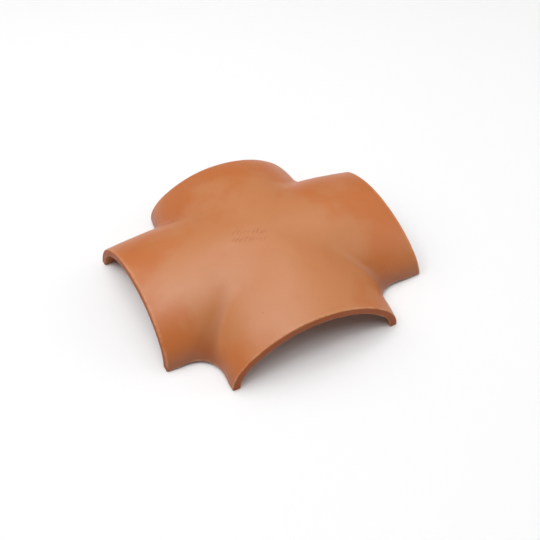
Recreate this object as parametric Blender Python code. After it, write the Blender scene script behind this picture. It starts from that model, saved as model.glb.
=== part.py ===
"""Roof apex tile: a fired clay cap for the point where four runs of ridge tile meet.

Metres, +Z up, the front arm towards -Y. The tile is one shell of even thickness. Four barrel arms
run down and out from a low crown, meet in soft valleys over the diagonals, and end in square-cut
mouths. Between two arms the bottom edge runs round in a cove. It stands on the feet of its mouths.
"""

import math

import bmesh
import bpy
import numpy as np

# Plan, measured from the crown to the outside of the clay
SIDE_REACH = 0.2056
SIDE_HALF_WIDTH = 0.1186
FRONT_REACH = 0.1804
BACK_REACH = 0.1748
FRONT_BACK_HALF_WIDTH = 0.125
MOUTH_NARROWING = 0.0017
LEFT_MOUTH_SKEW_DEG = 6.9

# Coves: how far each takes up the two arms that it joins
COVE_FRONT_RIGHT = 0.0428
COVE_FRONT_LEFT = 0.0574
COVE_BACK_RIGHT = 0.0415
COVE_BACK_LEFT = 0.0375
COVE_EXPONENT = 2.5
VALLEY_TIGHTENING = 1.4
CROWN_SOFTENING = 4.0

# Height
VAULT_RISE = 0.0759
CROWN_RISE = 0.0055
ARM_DROP = 0.0128
SIDE_MOUTH_LEAN_DEG = 9.9
FRONT_BACK_MOUTH_LEAN_DEG = 5.2

# Shoulders: how much slimmer than half an ellipse, as a share of the width
SHOULDER_SLIMMING = 0.117

# Clay
WALL = 0.011

# Fineness of the surface: rows from crest to foot, and columns round the cove and along the arm
ROWS = 16
COVE_COLUMNS = 6
ARM_COLUMNS = 6

TERRACOTTA_COLOUR = (0.58, 0.215, 0.098, 1.0)
TERRACOTTA_ROUGHNESS = 0.72


def clear_scene():
    for obj in list(bpy.data.objects):
        bpy.data.objects.remove(obj, do_unlink=True)


def smooth_step(value):
    """0 below 0, 1 above 1, and an easy S between."""
    value = np.clip(value, 0.0, 1.0)
    return value * value * (3.0 - 2.0 * value)


def stretch(distance, half_width, reach, new_half_width, new_reach):
    """Distance from the crown, eased so that the flank and the mouth land on their new distances.

    The distance is multiplied by 1 + a d + b d^2, with a and b chosen for those two distances.
    """
    flank_gain = (new_half_width / half_width - 1.0) / half_width
    mouth_gain = (new_reach / reach - 1.0) / reach
    bend = (mouth_gain - flank_gain) / (reach - half_width)
    slope = flank_gain - bend * half_width
    return distance * (1.0 + slope * distance + bend * distance * distance)


def half_arm(inset, cove):
    """Half of an arm, as grids: rows from crest to foot, columns from the valley to the mouth.

    Returns X, Y, Z and how far out each point is, from 0 at the valley to 1 at the mouth.

    The arm runs along +X, FRONT_BACK_HALF_WIDTH wide to each side. Its section is half an ellipse
    with slimmer shoulders. A level line on it goes straight back from the mouth and then turns
    through 45 degrees into the valley, on a rounded corner. That is as large as the cove at the
    foot, tighter half way up, and widest towards the crown.
    inset is the depth below the outer face: 0 for the outside and WALL for the inside.
    """
    half_width = FRONT_BACK_HALF_WIDTH - inset
    turn = np.linspace(0.0, math.pi / 2, ROWS + 1)[:, None]
    height = np.cos(turn)
    width = half_width * np.sin(turn) * (1.0 - SHOULDER_SLIMMING * height**2)
    easing = 1.0 - VALLEY_TIGHTENING * height + CROWN_SOFTENING * height**6
    corner = (cove * easing + inset) * np.sin(turn)
    angle = np.linspace(math.pi / 4, 0.0, COVE_COLUMNS + 1)[None, :]
    along = np.linspace(0.0, 1.0, ARM_COLUMNS + 1)[None, 1:]
    root = width + corner
    roundness = 2.0 / COVE_EXPONENT
    x = np.hstack((root - corner * np.sin(angle) ** roundness, root + along * (SIDE_REACH - root)))
    y = np.hstack((root - corner * np.cos(angle) ** roundness, width + 0.0 * along))
    outward = np.hstack((0.0 * angle, along)) ** 2
    fall = ((x**6 + y**6) ** (1.0 / 6.0) / SIDE_REACH) ** 2
    z = height * (VAULT_RISE - inset + CROWN_RISE * (1.0 - fall)) + ARM_DROP * (1.0 - fall)
    y = y * (1.0 - outward * MOUTH_NARROWING / half_width)
    return x, y, z, outward


def lean_back(distance, outward, z, degrees):
    """Sets the mouth's end face back with height, so that it is square to the falling arm."""
    return distance - outward * math.tan(math.radians(degrees)) * z


def left_skew(distance):
    """Slope of a line across the left arm, from square at its root to the skew of its mouth."""
    share = (distance - SIDE_HALF_WIDTH) / (SIDE_REACH - SIDE_HALF_WIDTH)
    return smooth_step(share) * math.tan(math.radians(LEFT_MOUTH_SKEW_DEG))


def placed(side, end, across, along_x, along_y, z):
    """Points of a half arm in their own quarter of the tile, skewed on the left."""
    px = side * along_x
    py = end * along_y
    if side < 0:
        px = px - left_skew(across) * py
    return np.stack((px, py, z), axis=-1)


def eighths(inset):
    """The eight half arms of one face of the shell, as grids of points.

    side is 1 to the right and -1 to the left, and end is 1 to the back and -1 to the front.
    """
    quarters = (
        (1, 1, BACK_REACH, COVE_BACK_RIGHT),
        (1, -1, FRONT_REACH, COVE_FRONT_RIGHT),
        (-1, 1, BACK_REACH, COVE_BACK_LEFT),
        (-1, -1, FRONT_REACH, COVE_FRONT_LEFT),
    )
    half_width = FRONT_BACK_HALF_WIDTH - inset
    side_half = SIDE_HALF_WIDTH - inset
    grids = []
    for side, end, reach, cove in quarters:
        x, y, z, outward = half_arm(inset, cove)
        along_x = lean_back(x, outward, z, SIDE_MOUTH_LEAN_DEG)
        along_y = stretch(y, half_width, SIDE_REACH, side_half, reach)
        grids.append(placed(side, end, x, along_x, along_y, z))
        along_y = stretch(x, half_width, SIDE_REACH, side_half, reach)
        along_y = lean_back(along_y, outward, z, FRONT_BACK_MOUTH_LEAN_DEG)
        grids.append(placed(side, end, y, y, along_y, z))
    return grids


def add_strip(mesh, first, second):
    """Faces between two rows of vertices, leaving out those that shrink to a line."""
    for k in range(len(first) - 1):
        ring = [first[k], first[k + 1], second[k + 1], second[k]]
        corners = []
        for vertex in ring:
            if all((vertex.co - other.co).length > 1e-7 for other in corners):
                corners.append(vertex)
        if len(corners) > 2:
            mesh.faces.new(corners)


def add_grid(mesh, grid):
    """The vertices of one grid and the faces between them."""
    rows = [[mesh.verts.new(point) for point in row] for row in grid]
    for upper, lower in zip(rows, rows[1:]):
        add_strip(mesh, upper, lower)
    return rows


def build_shell(mesh):
    """Outer and inner faces, joined across every mouth and along the bottom edge."""
    for outer_grid, inner_grid in zip(eighths(0.0), eighths(WALL)):
        outer = add_grid(mesh, outer_grid)
        inner = add_grid(mesh, inner_grid)
        add_strip(mesh, [row[-1] for row in outer], [row[-1] for row in inner])
        add_strip(mesh, outer[-1], inner[-1])
    bmesh.ops.remove_doubles(mesh, verts=mesh.verts, dist=1e-6)
    bmesh.ops.recalc_face_normals(mesh, faces=mesh.faces)


def centre_on_base(mesh):
    """Moves the shell so that the middle of its base is at the origin."""
    points = np.array([vertex.co for vertex in mesh.verts])
    low = points.min(axis=0)
    high = points.max(axis=0)
    bmesh.ops.translate(
        mesh,
        verts=mesh.verts,
        vec=(-(low[0] + high[0]) / 2, -(low[1] + high[1]) / 2, -low[2]),
    )


def terracotta():
    material = bpy.data.materials.new("terracotta")
    material.use_nodes = True
    shader = material.node_tree.nodes["Principled BSDF"]
    shader.inputs["Base Color"].default_value = TERRACOTTA_COLOUR
    shader.inputs["Roughness"].default_value = TERRACOTTA_ROUGHNESS
    shader.inputs["Metallic"].default_value = 0.0
    return material


def build_apex_tile():
    mesh = bmesh.new()
    build_shell(mesh)
    centre_on_base(mesh)
    data = bpy.data.meshes.new("apex_tile")
    mesh.to_mesh(data)
    mesh.free()
    data.materials.append(terracotta())
    data.shade_smooth()
    data.set_sharp_from_angle(angle=math.radians(40.0))
    tile = bpy.data.objects.new("apex_tile", data)
    bpy.context.scene.collection.objects.link(tile)
    return tile


clear_scene()
build_apex_tile()
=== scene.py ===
"""Looks of the roof apex tile: the fired clay shell with its eased rims, and its terracotta.

Metres, +Z up, the front arm towards -Y, as in the solid model. The shell is worked out again here
as a fine surface: a family of nested vaults from the outside of the clay to the inside, skinned
all round.
"""

import math

import bmesh
import bpy
import numpy as np
from mathutils import Matrix, Vector


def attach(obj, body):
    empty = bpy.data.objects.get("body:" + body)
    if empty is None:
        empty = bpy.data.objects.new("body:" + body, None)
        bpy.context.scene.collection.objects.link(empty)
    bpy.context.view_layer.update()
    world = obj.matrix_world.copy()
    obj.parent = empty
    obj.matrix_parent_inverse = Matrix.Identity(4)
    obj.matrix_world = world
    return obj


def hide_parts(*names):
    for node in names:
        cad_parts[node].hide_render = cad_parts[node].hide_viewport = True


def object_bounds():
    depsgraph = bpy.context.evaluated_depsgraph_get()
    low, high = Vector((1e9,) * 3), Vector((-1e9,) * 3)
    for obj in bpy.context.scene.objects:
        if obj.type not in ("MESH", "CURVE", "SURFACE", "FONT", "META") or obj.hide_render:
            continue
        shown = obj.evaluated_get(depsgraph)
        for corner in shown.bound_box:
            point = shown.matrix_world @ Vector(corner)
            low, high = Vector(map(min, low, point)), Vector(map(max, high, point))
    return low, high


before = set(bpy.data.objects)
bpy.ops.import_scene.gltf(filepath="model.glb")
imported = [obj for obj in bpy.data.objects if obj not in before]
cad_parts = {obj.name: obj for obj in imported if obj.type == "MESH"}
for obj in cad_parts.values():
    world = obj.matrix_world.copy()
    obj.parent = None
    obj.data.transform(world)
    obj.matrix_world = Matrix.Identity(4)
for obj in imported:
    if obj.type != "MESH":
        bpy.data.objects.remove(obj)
cad_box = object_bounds()

# Plan of the tile, measured from the crown to the outside of the clay
SIDE_REACH = 0.2056
SIDE_HALF_WIDTH = 0.1186
FRONT_REACH = 0.1804
BACK_REACH = 0.1748
FRONT_BACK_HALF_WIDTH = 0.125
MOUTH_NARROWING = 0.0017
LEFT_MOUTH_SKEW_DEG = 6.9

# Coves: how far each takes up the two arms that it joins
COVE_FRONT_RIGHT = 0.0428
COVE_FRONT_LEFT = 0.0574
COVE_BACK_RIGHT = 0.0415
COVE_BACK_LEFT = 0.0375
COVE_EXPONENT = 2.5
VALLEY_TIGHTENING = 1.4
CROWN_SOFTENING = 4.0

# Height of the tile
VAULT_RISE = 0.0759
CROWN_RISE = 0.0055
ARM_DROP = 0.0128
SIDE_MOUTH_LEAN_DEG = 9.9
FRONT_BACK_MOUTH_LEAN_DEG = 5.2

# Shoulders: how much slimmer than half an ellipse, as a share of the width
SHOULDER_SLIMMING = 0.117

# Clay, and the unevenness that the mould, the wire and the hand leave in it
WALL = 0.011
EDGE_RADIUS = 0.0019
SWELL_DEPTH = 0.0004
SWELL_WAVE = 0.09
CUT_DRAG_DEPTH = 0.00025
CUT_DRAG_WAVE = 0.013
CUT_DRAG_SQUEEZE = (1.0, 1.0, 2.0)
INSIDE_LUMP_DEPTH = 0.0005
INSIDE_LUMP_WAVE = 0.045

# Pale rims, partly wear and partly painted highlight: how far in from a sharp edge the pale reaches
RIM_PALE_REACH = 3.0 * EDGE_RADIUS

# Painted shade in the valleys, darkening the clay: how far it spreads over a side arm and over a front
# or back arm, as a span, and the share of the vault's height where it starts and where it is full
SIDE_VALLEY_SPREAD = 1.4
END_VALLEY_SPREAD = 0.8
VALLEY_SHADE_START = 0.85
VALLEY_SHADE_FULL = 0.25

# Pressed strokes, a little in front and to the left of the crown
STROKE_MIDDLE = (-0.0248, -0.0172)
STROKE_ROWS = 2
STROKES_IN_A_ROW = 9
ROW_PITCH = 0.0135
STROKE_PITCH = 0.0053
STROKE_LENGTH = 0.0062
STROKE_SLANT_DEG = 58.0
STROKE_WIDTH = 0.0022
STROKE_DEPTH = 0.0005
STROKE_TURN_DEG = -22.9
STROKE_DRIFT = (0.0007, 0.0006)
STROKE_CUTS = 5

# Painted sheen, as paler tan clay round the middle of the top: distances where it starts and where it is
# full
PAINTED_SHEEN_MIDDLE = (-0.006, -0.045, 0.09)
PAINTED_SHEEN_START = 0.2
PAINTED_SHEEN_FULL = 0.05

# Painted shade at the feet: darker clay up to this height
PAINTED_SHADE_FEET_HEIGHT = 0.035

# Fineness of the surface
ROWS = 56
COVE_COLUMNS = 14
ARM_COLUMNS = 44
EDGE_COLUMNS = 3
DEPTH_COLUMNS = 5
SAME_POINT = 2e-6

# Colours of the clay
CLAY_ORANGE = (0.453, 0.129, 0.028, 1.0)
# Tan for the random clouds, and for the painted sheen round the middle of the top
CLAY_TAN_AND_SHEEN = (0.465, 0.172, 0.058, 1.0)
CLAY_RED = (0.403, 0.113, 0.027, 1.0)
CUT_BROWN = (0.32, 0.076, 0.021, 1.0)
# Painted shade: the brown that darkens the valleys and the feet
PAINTED_SHADE_BROWN = (0.25, 0.07, 0.022, 1.0)
STROKE_RED = (0.33, 0.095, 0.04, 1.0)
INSIDE_RED = (0.36, 0.112, 0.046, 1.0)
# Pale for the rims: wear, and painted highlight
WORN_AND_HIGHLIGHT_PALE = (0.62, 0.29, 0.145, 1.0)
SPECK_DARK = (0.13, 0.055, 0.032, 1.0)

# Patterns in the clay, as waves to the metre
CLOUD_SCALE = 14.0
FLUSH_SCALE = 24.0
POLISH_SCALE = 45.0
SPECK_GROUP_SCALE = 70.0
SPECK_SCALE = 85.0
RIM_CHIP_SCALE = 120.0
GRAIN_SCALE = 650.0
SAND_SCALE = 1800.0
WIRE_DRAG_SCALE = (40.0, 40.0, 900.0)
RELIEF_HEIGHT = 0.00035

# Camera, round the crown's foot point
CAMERA_AIM = (0.0071, 0.0033, 0.0002)
CAMERA_AZIMUTH_DEG = -22.9
CAMERA_ELEVATION_DEG = 48.1
CAMERA_ROLL_DEG = 2.11
CAMERA_DISTANCE = 0.8822
CAMERA_LENS_MM = 38.52
CAMERA_SHIFT = (0.01442, -0.00815)

# Studio
LIGHT_DISTANCE = 4.0
STUDIO_BRIGHTNESS = 0.2
FLOOR_SIZE = 16.0
FLOOR_GAP = 0.0002
FLOOR_GREY = (0.79, 0.79, 0.79, 1.0)


def direction(azimuth_deg, elevation_deg):
    """Unit vector from the tile towards a point: azimuth 0 is in front and 90 is to the right."""
    azimuth = math.radians(azimuth_deg)
    elevation = math.radians(elevation_deg)
    level = math.cos(elevation)
    return Vector((math.sin(azimuth) * level, -math.cos(azimuth) * level, math.sin(elevation)))


def link(obj):
    """Puts an object into the scene and hands it back."""
    bpy.context.scene.collection.objects.link(obj)
    return obj


def make_camera():
    """Camera at the photograph's angle, rolled a little clockwise about its own axis."""
    data = bpy.data.cameras.new("camera")
    data.lens = CAMERA_LENS_MM
    data.shift_x, data.shift_y = CAMERA_SHIFT
    camera = link(bpy.data.objects.new("camera", data))
    back = direction(CAMERA_AZIMUTH_DEG, CAMERA_ELEVATION_DEG)
    level_right = Vector((0.0, 0.0, 1.0)).cross(back).normalized()
    level_up = back.cross(level_right)
    roll = math.radians(CAMERA_ROLL_DEG)
    right = level_right * math.cos(roll) - level_up * math.sin(roll)
    up = back.cross(right)
    place = Matrix((right, up, back)).transposed().to_4x4()
    place.translation = Vector(CAMERA_AIM) + back * CAMERA_DISTANCE
    camera.matrix_world = place
    bpy.context.scene.camera = camera


def softbox(name, azimuth_deg, elevation_deg, size, power):
    """Square area light that faces the tile from one direction."""
    data = bpy.data.lights.new(name, "AREA")
    data.shape = "SQUARE"
    data.size = size
    data.energy = power
    light = link(bpy.data.objects.new(name, data))
    towards = direction(azimuth_deg, elevation_deg)
    light.rotation_mode = "QUATERNION"
    light.rotation_quaternion = towards.to_track_quat("Z", "Y")
    light.location = Vector(CAMERA_AIM) + towards * LIGHT_DISTANCE


def make_light():
    """Soft boxes overhead and high up for the sheen, fills at the sides, and a pale studio."""
    softbox("overhead", 157.0, 84.0, 3.2, 33.0)
    softbox("high_front", -23.0, 76.0, 2.0, 45.0)
    softbox("high_back", 157.0, 66.0, 2.0, 28.0)
    softbox("high_left", -100.0, 64.0, 2.0, 49.0)
    softbox("left_fill", -90.0, 40.0, 2.4, 7.0)
    softbox("left_back_fill", -135.0, 45.0, 2.4, 26.0)
    softbox("right_fill", 70.0, 40.0, 2.4, 14.0)
    softbox("right_back_fill", 120.0, 45.0, 2.4, 6.0)
    softbox("low_right", 75.0, 20.0, 2.0, 20.0)
    world = bpy.data.worlds.new("pale_studio")
    world.use_nodes = True
    background = world.node_tree.nodes["Background"]
    background.inputs["Color"].default_value = (1.0, 1.0, 1.0, 1.0)
    background.inputs["Strength"].default_value = STUDIO_BRIGHTNESS
    bpy.context.scene.world = world
    bpy.context.scene.view_settings.view_transform = "Standard"


def smooth_step(value):
    """0 below 0, 1 above 1, and an easy S between."""
    value = np.clip(value, 0.0, 1.0)
    return value * value * (3.0 - 2.0 * value)


def stretch(distance, half_width, reach, new_half_width, new_reach):
    """Distance times 1 + a d + b d^2, with a and b chosen so that the flank and the mouth land right."""
    flank_gain = (new_half_width / half_width - 1.0) / half_width
    mouth_gain = (new_reach / reach - 1.0) / reach
    bend = (mouth_gain - flank_gain) / (reach - half_width)
    slope = flank_gain - bend * half_width
    return distance * (1.0 + slope * distance + bend * distance * distance)


def lean_back(distance, outward, z, degrees):
    """Distance less height times the tangent of the lean: the end face is square to the falling arm."""
    return distance - outward * math.tan(math.radians(degrees)) * z


def left_skew(distance):
    """Slope of a line across the left arm: the tangent of the skew, eased in from the arm's root."""
    share = (distance - SIDE_HALF_WIDTH) / (SIDE_REACH - SIDE_HALF_WIDTH)
    return smooth_step(share) * math.tan(math.radians(LEFT_MOUTH_SKEW_DEG))


def cove_size(turn, cove):
    """Size of a level line's corner: the cove times 1 - tightening h + softening h^6.

    h is cos(turn), so the corner is as large as the cove at the foot, tighter half way up, and
    widest towards the crown.
    """
    height = np.cos(turn)
    return cove * (1.0 - VALLEY_TIGHTENING * height + CROWN_SOFTENING * height**6)


def half_section(turn, half_width):
    """Half width at a turn: sin(turn) of the whole, less the slimming times cos(turn) squared."""
    return half_width * np.sin(turn) * (1.0 - SHOULDER_SLIMMING * np.cos(turn) ** 2)


def arm_length(turn, cove):
    """Straight part of a level line: the reach less the half width and the corner."""
    corner = cove_size(turn, cove) * np.sin(turn)
    return SIDE_REACH - half_section(turn, FRONT_BACK_HALF_WIDTH) - corner


def vault(turn, span, inset, cove):
    """X, Y, Z and how far out each point is, on half an arm that runs along +X.

    turn goes from 0 at the crest to a quarter turn at the foot, and the section is half an ellipse
    with slimmer shoulders. span goes from 0 in the valley to 1 at the arm's root, round 45 degrees
    of a superellipse whose size is the cove's times sin(turn), and then straight to 2 at the
    mouth. The height falls off with the square of the sixth-power distance from the crown.
    """
    half_width = FRONT_BACK_HALF_WIDTH - inset
    width = half_section(turn, half_width)
    corner = (cove_size(turn, cove) + inset) * np.sin(turn)
    angle = math.pi / 4 * (1.0 - np.minimum(span, 1.0))
    along = np.maximum(span - 1.0, 0.0)
    outward = along * along
    root = width + corner
    roundness = 2.0 / COVE_EXPONENT
    x = root - corner * np.sin(angle) ** roundness + along * (SIDE_REACH - root)
    y = root - corner * np.cos(angle) ** roundness
    fall = ((x**6 + y**6) ** (1.0 / 6.0) / SIDE_REACH) ** 2
    z = np.cos(turn) * (VAULT_RISE - inset + CROWN_RISE * (1.0 - fall)) + ARM_DROP * (1.0 - fall)
    y = y * (1.0 - outward * MOUTH_NARROWING / half_width)
    return x, y, z, outward


def eased(to_mouth, above_foot, inset):
    """Rounds the sharp edges of the slab of clay.

    Each point is pulled straight towards the slab's core, which lies one edge radius inside every
    face, until it is one edge radius away from that core.
    """
    core = np.stack((
        np.maximum(to_mouth, EDGE_RADIUS),
        np.maximum(above_foot, EDGE_RADIUS),
        np.clip(inset, EDGE_RADIUS, WALL - EDGE_RADIUS),
    ))
    reach = np.stack((to_mouth, above_foot, inset)) - core
    return core + reach * EDGE_RADIUS / np.sqrt((reach**2).sum(axis=0))


def edge_steps():
    """Distances from a sharp edge that come out even round its arc: radius times 1 - tan(angle)."""
    return EDGE_RADIUS * (1.0 - np.tan(np.linspace(math.pi / 4, 0.0, EDGE_COLUMNS + 1)))


def turns():
    """Turn of each row: even from the crest to the bottom edge's rounding, then round that."""
    last = math.pi / 2 - EDGE_RADIUS / VAULT_RISE
    rounding = math.pi / 2 - edge_steps()[-2::-1] / VAULT_RISE
    return np.concatenate((np.linspace(0.0, last, ROWS), rounding))


def spans(turn, cove):
    """Span of each column: even round the cove and along the arm, then round the mouth's edge."""
    length = arm_length(turn, cove)
    bend = np.linspace(0.0, 1.0, COVE_COLUMNS + 1) + 0.0 * length
    arm = 1.0 + np.linspace(0.0, 1.0, ARM_COLUMNS + 1)[1:] * (1.0 - EDGE_RADIUS / length)
    edge = 2.0 - edge_steps()[-2::-1] / length
    return np.hstack((bend, arm, edge))


def insets():
    """Depth of each column across the wall: round the outer edge, straight, then round the inner."""
    middle = np.linspace(EDGE_RADIUS, WALL - EDGE_RADIUS, DEPTH_COLUMNS + 1)[1:-1]
    return np.concatenate((edge_steps(), middle, WALL - edge_steps()[::-1]))


def skin_sheets(cove):
    """The four sheets that wrap half an arm: outside, inside, end and foot.

    Each is a grid of turn, span and inset.
    """
    rows = turns()[:, None]
    depths = insets()
    foot = np.full((len(depths), 1), math.pi / 2)
    columns = spans(rows, cove)
    foot_columns = spans(foot, cove)
    return (
        (rows + 0.0 * columns, columns, 0.0 * columns),
        (rows + 0.0 * columns, columns, 0.0 * columns + WALL),
        (rows + 0.0 * depths, 0.0 * rows + 2.0 + 0.0 * depths, 0.0 * rows + depths),
        (foot + 0.0 * foot_columns, foot_columns, depths[:, None] + 0.0 * foot_columns),
    )


def placed(side, end, across, along_x, along_y, z):
    """Points of a half arm in their own quarter of the tile, skewed on the left."""
    px = side * along_x
    py = end * along_y
    if side < 0:
        px = px - left_skew(across) * py
    return np.stack((px, py, z), axis=-1)


def both_arms(side, end, reach, x, y, z, outward, depth):
    """A half arm's points as the side arm and as the front or back arm of one quarter."""
    half_width = FRONT_BACK_HALF_WIDTH - depth
    side_half = SIDE_HALF_WIDTH - depth
    side_x = lean_back(x, outward, z, SIDE_MOUTH_LEAN_DEG)
    side_y = stretch(y, half_width, SIDE_REACH, side_half, reach)
    end_y = stretch(x, half_width, SIDE_REACH, side_half, reach)
    end_y = lean_back(end_y, outward, z, FRONT_BACK_MOUTH_LEAN_DEG)
    return placed(side, end, x, side_x, side_y, z), placed(side, end, y, y, end_y, z)


def quads(rows, columns, first):
    """Faces between neighbouring rows and columns of a grid whose first vertex has this index."""
    index = first + np.arange(rows * columns).reshape(rows, columns)
    corners = (index[:-1, :-1], index[1:, :-1], index[1:, 1:], index[:-1, 1:])
    return np.stack(corners, axis=-1).reshape(-1, 4)


def finish_and_painted_light_marks(to_mouth, above_foot, depth, turn, span, spread):
    """How much each point belongs to a cut face, to the inside, to a rim and to a valley.

    Each mark is a product of eased steps. A cut is at the mouth or the foot and away from both
    faces of the wall. The inside grows with the depth. A rim is near the mouth or the foot, on
    either face, and carries wear and painted highlight. A valley is low on the outside, near the
    arm's root, and carries painted shade.
    """
    from_edge = np.minimum(to_mouth, above_foot)
    edge_gap = np.minimum(depth, WALL - depth)
    cut = smooth_step(1.0 - from_edge / EDGE_RADIUS) * smooth_step(edge_gap / EDGE_RADIUS)
    inside = smooth_step(depth / WALL)
    near_edge = smooth_step(1.0 - from_edge / RIM_PALE_REACH)
    rim = near_edge * smooth_step(1.0 - edge_gap / EDGE_RADIUS)
    low = smooth_step((VALLEY_SHADE_START - np.cos(turn)) / (VALLEY_SHADE_START - VALLEY_SHADE_FULL))
    # Painted shade: the valley mark darkens the clay low in the coves
    valley = smooth_step(1.0 - span / spread) * low * (1.0 - inside)
    return np.stack((cut, inside, rim, valley), axis=-1).reshape(-1, 4)


def shell_arrays():
    """Points, faces and finish and painted-light marks of the whole skin, quarter by quarter and sheet
    by sheet.
    """
    quarters = (
        (1, 1, BACK_REACH, COVE_BACK_RIGHT),
        (1, -1, FRONT_REACH, COVE_FRONT_RIGHT),
        (-1, 1, BACK_REACH, COVE_BACK_LEFT),
        (-1, -1, FRONT_REACH, COVE_FRONT_LEFT),
    )
    points = []
    faces = []
    marks = []
    count = 0
    for side, end, reach, cove in quarters:
        for turn, span, inset in skin_sheets(cove):
            length = arm_length(turn, cove)
            to_mouth = (2.0 - span) * length
            above_foot = (math.pi / 2 - turn) * VAULT_RISE
            to_mouth, above_foot, depth = eased(to_mouth, above_foot, inset)
            turn = math.pi / 2 - above_foot / VAULT_RISE
            span = 2.0 - to_mouth / length
            x, y, z, outward = vault(turn, span, depth, cove)
            arms = both_arms(side, end, reach, x, y, z, outward, depth)
            for grid, spread in zip(arms, (SIDE_VALLEY_SPREAD, END_VALLEY_SPREAD)):
                points.append(grid.reshape(-1, 3))
                faces.append(quads(grid.shape[0], grid.shape[1], count))
                marks.append(finish_and_painted_light_marks(to_mouth, above_foot, depth, turn, span, spread))
                count += grid.shape[0] * grid.shape[1]
    return np.concatenate(points), np.concatenate(faces), np.concatenate(marks)


def centre_on_frame(points):
    """The points moved so that the middle of their base is that of the solid model's base."""
    shift = (points.min(axis=0) + points.max(axis=0)) / 2
    middle = (np.array(cad_box[0]) + np.array(cad_box[1])) / 2
    rise = cad_box[0][2] - points[:, 2].min()
    return points + np.array((middle[0] - shift[0], middle[1] - shift[1], rise))


def swell(points, wave, seed):
    """Soft unevenness from 0 to 1: half of 1 + tanh of a sum of five sines of the position.

    Each sine runs in its own direction, at the same wave length or a little shorter.
    """
    order = np.arange(1, 6)
    heading = 2.4 * order + seed
    tilt = np.sin(1.7 * order + seed)
    ways = np.stack((np.cos(heading), np.sin(heading), tilt), axis=-1) / wave
    phases = points @ ways.T * 2.0 * math.pi + 1.3 * order + seed
    return 0.5 + 0.5 * np.tanh(np.sin(phases).sum(axis=1) / 1.6)


def stroke_ends():
    """Both ends of each pressed stroke in plan, from the crown.

    The strokes lean at one slant, in rows at even pitches, with sines for the drift of the hand.
    """
    row, place = np.divmod(np.arange(STROKE_ROWS * STROKES_IN_A_ROW), STROKES_IN_A_ROW)
    drift = np.sin(5.0 * place + 3.0 * row)
    middle_x = (place - (STROKES_IN_A_ROW - 1) / 2) * STROKE_PITCH + STROKE_DRIFT[0] * drift
    middle_y = (row - (STROKE_ROWS - 1) / 2) * ROW_PITCH + STROKE_DRIFT[1] * np.cos(4.0 * place + row)
    half = STROKE_LENGTH / 2 * (1.0 + 0.3 * np.sin(7.0 * place + 2.0 * row))
    slant = math.radians(STROKE_SLANT_DEG) + 0.25 * drift
    middle = np.stack((middle_x, middle_y), axis=-1)
    lean = np.stack((half * np.cos(slant), half * np.sin(slant)), axis=-1)
    turn = math.radians(STROKE_TURN_DEG)
    turned = np.array(((math.cos(turn), math.sin(turn)), (-math.sin(turn), math.cos(turn))))
    return (middle - lean) @ turned + STROKE_MIDDLE, (middle + lean) @ turned + STROKE_MIDDLE


def stroke_press(plan):
    """Depth from 0 to 1 pressed by the strokes: an eased groove round the nearest stroke."""
    starts, ends = stroke_ends()
    way = ends - starts
    offset = plan[:, None, :] - starts[None, :, :]
    share = np.clip((offset * way).sum(axis=2) / (way**2).sum(axis=1), 0.0, 1.0)
    gap = offset - share[:, :, None] * way[None, :, :]
    distance = np.sqrt((gap**2).sum(axis=2)).min(axis=1)
    return smooth_step(1.0 - distance / (STROKE_WIDTH / 2))


def refine_strokes(mesh, crown):
    """Splits the outer faces under the pressed strokes finely enough to carry them."""
    half_x = STROKES_IN_A_ROW * STROKE_PITCH / 2 + STROKE_WIDTH
    half_y = STROKE_ROWS * ROW_PITCH / 2 + STROKE_WIDTH
    reach = math.hypot(half_x, half_y)
    edges = set()
    for face in mesh.faces:
        middle = face.calc_center_median() - crown
        away = math.hypot(middle.x - STROKE_MIDDLE[0], middle.y - STROKE_MIDDLE[1])
        if face.normal.z > 0.5 and away < reach and middle.z > -WALL:
            edges.update(face.edges)
    bmesh.ops.subdivide_edges(mesh, edges=list(edges), cuts=STROKE_CUTS, use_grid_fill=True)


def press_clay(data, crown):
    """Moves each vertex along its normal: swells, drag on the cuts, lumps inside, and strokes.

    Swells, drag and strokes go into the clay and lumps stand out of it. No point goes below the
    level that the feet stand on.
    """
    count = len(data.vertices)
    points = np.empty(count * 3, np.float32)
    data.vertices.foreach_get("co", points)
    points = points.reshape(-1, 3).astype(float)
    normals = np.empty(count * 3, np.float32)
    data.vertex_normals.foreach_get("vector", normals)
    normals = normals.reshape(-1, 3)
    marks = {}
    for name in ("cut", "inside", "rim"):
        marks[name] = np.empty(count, np.float32)
        data.attributes[name].data.foreach_get("value", marks[name])
    outside = (1.0 - marks["inside"]) * (1.0 - marks["cut"])
    inside = marks["inside"] * (1.0 - marks["cut"])
    press = SWELL_DEPTH * outside * swell(points, SWELL_WAVE, 0.4)
    drag = swell(points * CUT_DRAG_SQUEEZE, CUT_DRAG_WAVE, 2.1)
    press = press + CUT_DRAG_DEPTH * marks["cut"] * drag
    press = press - INSIDE_LUMP_DEPTH * inside * swell(points, INSIDE_LUMP_WAVE, 1.2)
    stroke = outside * stroke_press(points[:, :2] - crown[:2])
    press = press + STROKE_DEPTH * stroke
    points = points - normals * press[:, None]
    points[:, 2] = np.maximum(points[:, 2], cad_box[0][2])
    data.vertices.foreach_set("co", points.astype(np.float32).ravel())
    attribute = data.attributes.new("stroke", "FLOAT", "POINT")
    attribute.data.foreach_set("value", stroke.astype(np.float32))
    data.update()


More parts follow.
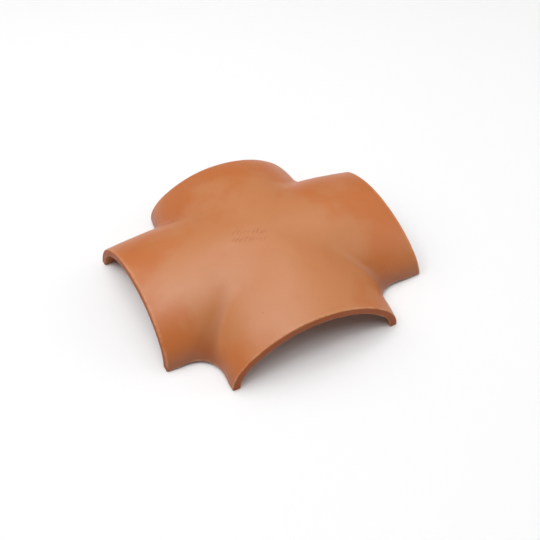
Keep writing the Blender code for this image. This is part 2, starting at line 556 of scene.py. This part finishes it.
def build_tile():
    """The whole shell as one closed mesh, merged along its seams, with its finish and painted-light
    marks.
    """
    points, faces, marks = shell_arrays()
    points = centre_on_frame(points)
    crown = Vector(points[points[:, 2].argmax()])
    data = bpy.data.meshes.new("fired_clay_tile")
    data.from_pydata(points.tolist(), [], faces.tolist())
    for column, name in enumerate(("cut", "inside", "rim", "valley")):
        attribute = data.attributes.new(name, "FLOAT", "POINT")
        attribute.data.foreach_set("value", np.ascontiguousarray(marks[:, column], np.float32))
    mesh = bmesh.new()
    mesh.from_mesh(data)
    bmesh.ops.remove_doubles(mesh, verts=mesh.verts, dist=SAME_POINT)
    bmesh.ops.recalc_face_normals(mesh, faces=mesh.faces)
    refine_strokes(mesh, crown)
    mesh.to_mesh(data)
    mesh.free()
    data.shade_smooth()
    press_clay(data, np.array(crown))
    tile = link(bpy.data.objects.new("fired_clay_tile", data))
    data.materials.append(terracotta())
    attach(tile, "root")
    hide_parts("apex_tile")


def add(tree, kind, **settings):
    """A new node with these settings."""
    node = tree.nodes.new(kind)
    for name, value in settings.items():
        setattr(node, name, value)
    return node


def wire(tree, socket, value):
    """Sets a socket to a number or colour, or links it to another socket."""
    if isinstance(value, bpy.types.NodeSocket):
        tree.links.new(value, socket)
    else:
        socket.default_value = value


def noise(tree, vector, scale, detail, roughness):
    """Cloudy pattern from 0 to 1 at a scale."""
    node = add(tree, "ShaderNodeTexNoise")
    wire(tree, node.inputs["Vector"], vector)
    wire(tree, node.inputs["Scale"], scale)
    wire(tree, node.inputs["Detail"], detail)
    wire(tree, node.inputs["Roughness"], roughness)
    return node.outputs["Fac"]


def between(tree, value, low, high, to_low=0.0, to_high=1.0):
    """Carries the range low to high on to another range, eased and clamped."""
    node = add(tree, "ShaderNodeMapRange", interpolation_type="SMOOTHSTEP")
    for name, number in (
        ("Value", value),
        ("From Min", low),
        ("From Max", high),
        ("To Min", to_low),
        ("To Max", to_high),
    ):
        wire(tree, node.inputs[name], number)
    return node.outputs["Result"]


def combined(tree, operation, first, second):
    """Two numbers taken together: added, subtracted, multiplied, or the larger of them."""
    node = add(tree, "ShaderNodeMath", operation=operation)
    wire(tree, node.inputs[0], first)
    wire(tree, node.inputs[1], second)
    return node.outputs[0]


def coated(tree, under, coat, share, strength=1.0):
    """Colour that goes from the one under to the coat, with a share times a strength."""
    node = add(tree, "ShaderNodeMix", data_type="RGBA")
    if strength != 1.0:
        share = combined(tree, "MULTIPLY", share, strength)
    wire(tree, node.inputs[0], share)
    wire(tree, node.inputs[6], under)
    wire(tree, node.inputs[7], coat)
    return node.outputs[2]


def mark_of(tree, name):
    """One of the surface's marks: cut, inside, rim (wear, painted highlight), valley (painted shade) or
    stroke.
    """
    return add(tree, "ShaderNodeAttribute", attribute_name=name).outputs["Fac"]


def stretched(tree, vector, scale):
    """Place on the clay, stretched by its own factor along each axis."""
    node = add(tree, "ShaderNodeMapping")
    wire(tree, node.inputs["Vector"], vector)
    wire(tree, node.inputs["Scale"], scale)
    return node.outputs["Vector"]


def clay_colour_with_painted_light(tree, place, grain):
    """Kiln orange clouded with tan and flushed red, painted sheen in the middle, painted shade at the
    feet.
    """
    away = add(tree, "ShaderNodeVectorMath", operation="DISTANCE")
    wire(tree, away.inputs[0], place)
    wire(tree, away.inputs[1], PAINTED_SHEEN_MIDDLE)
    # Painted sheen: paler tan towards the middle of the top
    pale = between(tree, away.outputs["Value"], PAINTED_SHEEN_START, PAINTED_SHEEN_FULL, -0.15, 0.34)
    tan_clouds_and_sheen = combined(tree, "ADD", noise(tree, place, CLOUD_SCALE, 3.0, 0.55), pale)
    flush = noise(tree, place, FLUSH_SCALE, 4.0, 0.6)
    height = add(tree, "ShaderNodeSeparateXYZ")
    wire(tree, height.inputs["Vector"], place)
    # Painted shade: darker towards the feet
    painted_shade_at_feet = between(tree, height.outputs["Z"], PAINTED_SHADE_FEET_HEIGHT, 0.0, 0.0, 0.75)
    colour = coated(tree, CLAY_ORANGE, CLAY_TAN_AND_SHEEN, between(tree, tan_clouds_and_sheen, 0.35, 0.65))
    colour = coated(tree, colour, CLAY_RED, between(tree, flush, 0.52, 0.8, 0.0, 0.35))
    colour = coated(tree, colour, CLAY_RED, between(tree, grain, 0.45, 0.8, 0.0, 0.3))
    return coated(tree, colour, PAINTED_SHADE_BROWN, painted_shade_at_feet)


def colour_with_marks_and_painted_light(tree, place, colour, cut, inside):
    """Painted shade in valleys, browner strokes, inside and cuts, pale rims of wear and painted
    highlight.
    """
    chips = between(tree, noise(tree, place, RIM_CHIP_SCALE, 4.0, 0.7), 0.3, 0.65)
    worn_and_highlight = combined(tree, "MULTIPLY", mark_of(tree, "rim"), chips)
    # Painted shade: the valleys coated towards brown
    colour = coated(tree, colour, PAINTED_SHADE_BROWN, mark_of(tree, "valley"), 0.55)
    colour = coated(tree, colour, STROKE_RED, mark_of(tree, "stroke"), 0.35)
    colour = coated(tree, colour, INSIDE_RED, inside, 0.7)
    colour = coated(tree, colour, CUT_BROWN, cut, 0.85)
    # Pale rims, worn and with painted highlight
    return coated(tree, colour, WORN_AND_HIGHLIGHT_PALE, worn_and_highlight, 0.7)


def specks(tree, place):
    """Small dark grains in the clay, here and there in groups."""
    cells = add(tree, "ShaderNodeTexVoronoi", feature="F1")
    wire(tree, cells.inputs["Vector"], place)
    wire(tree, cells.inputs["Scale"], SPECK_SCALE)
    group = between(tree, noise(tree, place, SPECK_GROUP_SCALE, 2.0, 0.5), 0.58, 0.66)
    return combined(tree, "MULTIPLY", between(tree, cells.outputs["Distance"], 0.10, 0.05), group)


def fine_relief(tree, place, grain, speck, cut):
    """Normal of the clay with grain, sand, specks as pits, and the wire's drag on the cuts."""
    sand = noise(tree, place, SAND_SCALE, 2.0, 0.6)
    drag = noise(tree, stretched(tree, place, WIRE_DRAG_SCALE), 1.0, 3.0, 0.6)
    relief = combined(tree, "MULTIPLY", grain, 0.35)
    relief = combined(tree, "ADD", relief, combined(tree, "MULTIPLY", sand, 0.2))
    relief = combined(tree, "SUBTRACT", relief, speck)
    relief = combined(tree, "ADD", relief, combined(tree, "MULTIPLY", cut, drag))
    bump = add(tree, "ShaderNodeBump")
    wire(tree, bump.inputs["Strength"], 0.55)
    wire(tree, bump.inputs["Distance"], RELIEF_HEIGHT)
    wire(tree, bump.inputs["Height"], relief)
    return bump.outputs["Normal"]


def terracotta():
    """Unglazed fired clay: clouded orange, fine sand, dark specks, pale rims (wear, painted highlight),
    browner cuts.
    """
    material = bpy.data.materials.new("terracotta")
    material.use_nodes = True
    tree = material.node_tree
    shader = tree.nodes["Principled BSDF"]
    place = add(tree, "ShaderNodeTexCoord").outputs["Object"]
    cut = mark_of(tree, "cut")
    inside = mark_of(tree, "inside")
    grain = noise(tree, place, GRAIN_SCALE, 3.0, 0.65)
    speck = specks(tree, place)
    colour = clay_colour_with_painted_light(tree, place, grain)
    colour = colour_with_marks_and_painted_light(tree, place, colour, cut, inside)
    colour = coated(tree, colour, SPECK_DARK, speck, 0.75)
    wire(tree, shader.inputs["Base Color"], colour)
    roughness = between(tree, noise(tree, place, POLISH_SCALE, 4.0, 0.6), 0.25, 0.75, 0.38, 0.46)
    roughness = combined(tree, "ADD", roughness, combined(tree, "MULTIPLY", cut, 0.15))
    wire(tree, shader.inputs["Roughness"], roughness)
    wire(tree, shader.inputs["IOR"], 1.5)
    dusty = combined(tree, "MAXIMUM", cut, inside)
    wire(tree, shader.inputs["Specular IOR Level"], between(tree, dusty, 0.0, 1.0, 0.5, 0.2))
    wire(tree, shader.inputs["Normal"], fine_relief(tree, place, grain, speck, cut))
    return material


def make_floor():
    """Pale matt floor, just under the tile's feet."""
    half = FLOOR_SIZE / 2
    data = bpy.data.meshes.new("floor")
    plan = ((-half, -half), (half, -half), (half, half), (-half, half))
    data.from_pydata([(x, y, -FLOOR_GAP) for x, y in plan], [], [(0, 1, 2, 3)])
    material = bpy.data.materials.new("pale_floor")
    material.use_nodes = True
    shader = material.node_tree.nodes["Principled BSDF"]
    shader.inputs["Base Color"].default_value = FLOOR_GREY
    shader.inputs["Roughness"].default_value = 0.9
    data.materials.append(material)
    link(bpy.data.objects.new("floor", data))


make_camera()
make_light()
make_floor()
build_tile()

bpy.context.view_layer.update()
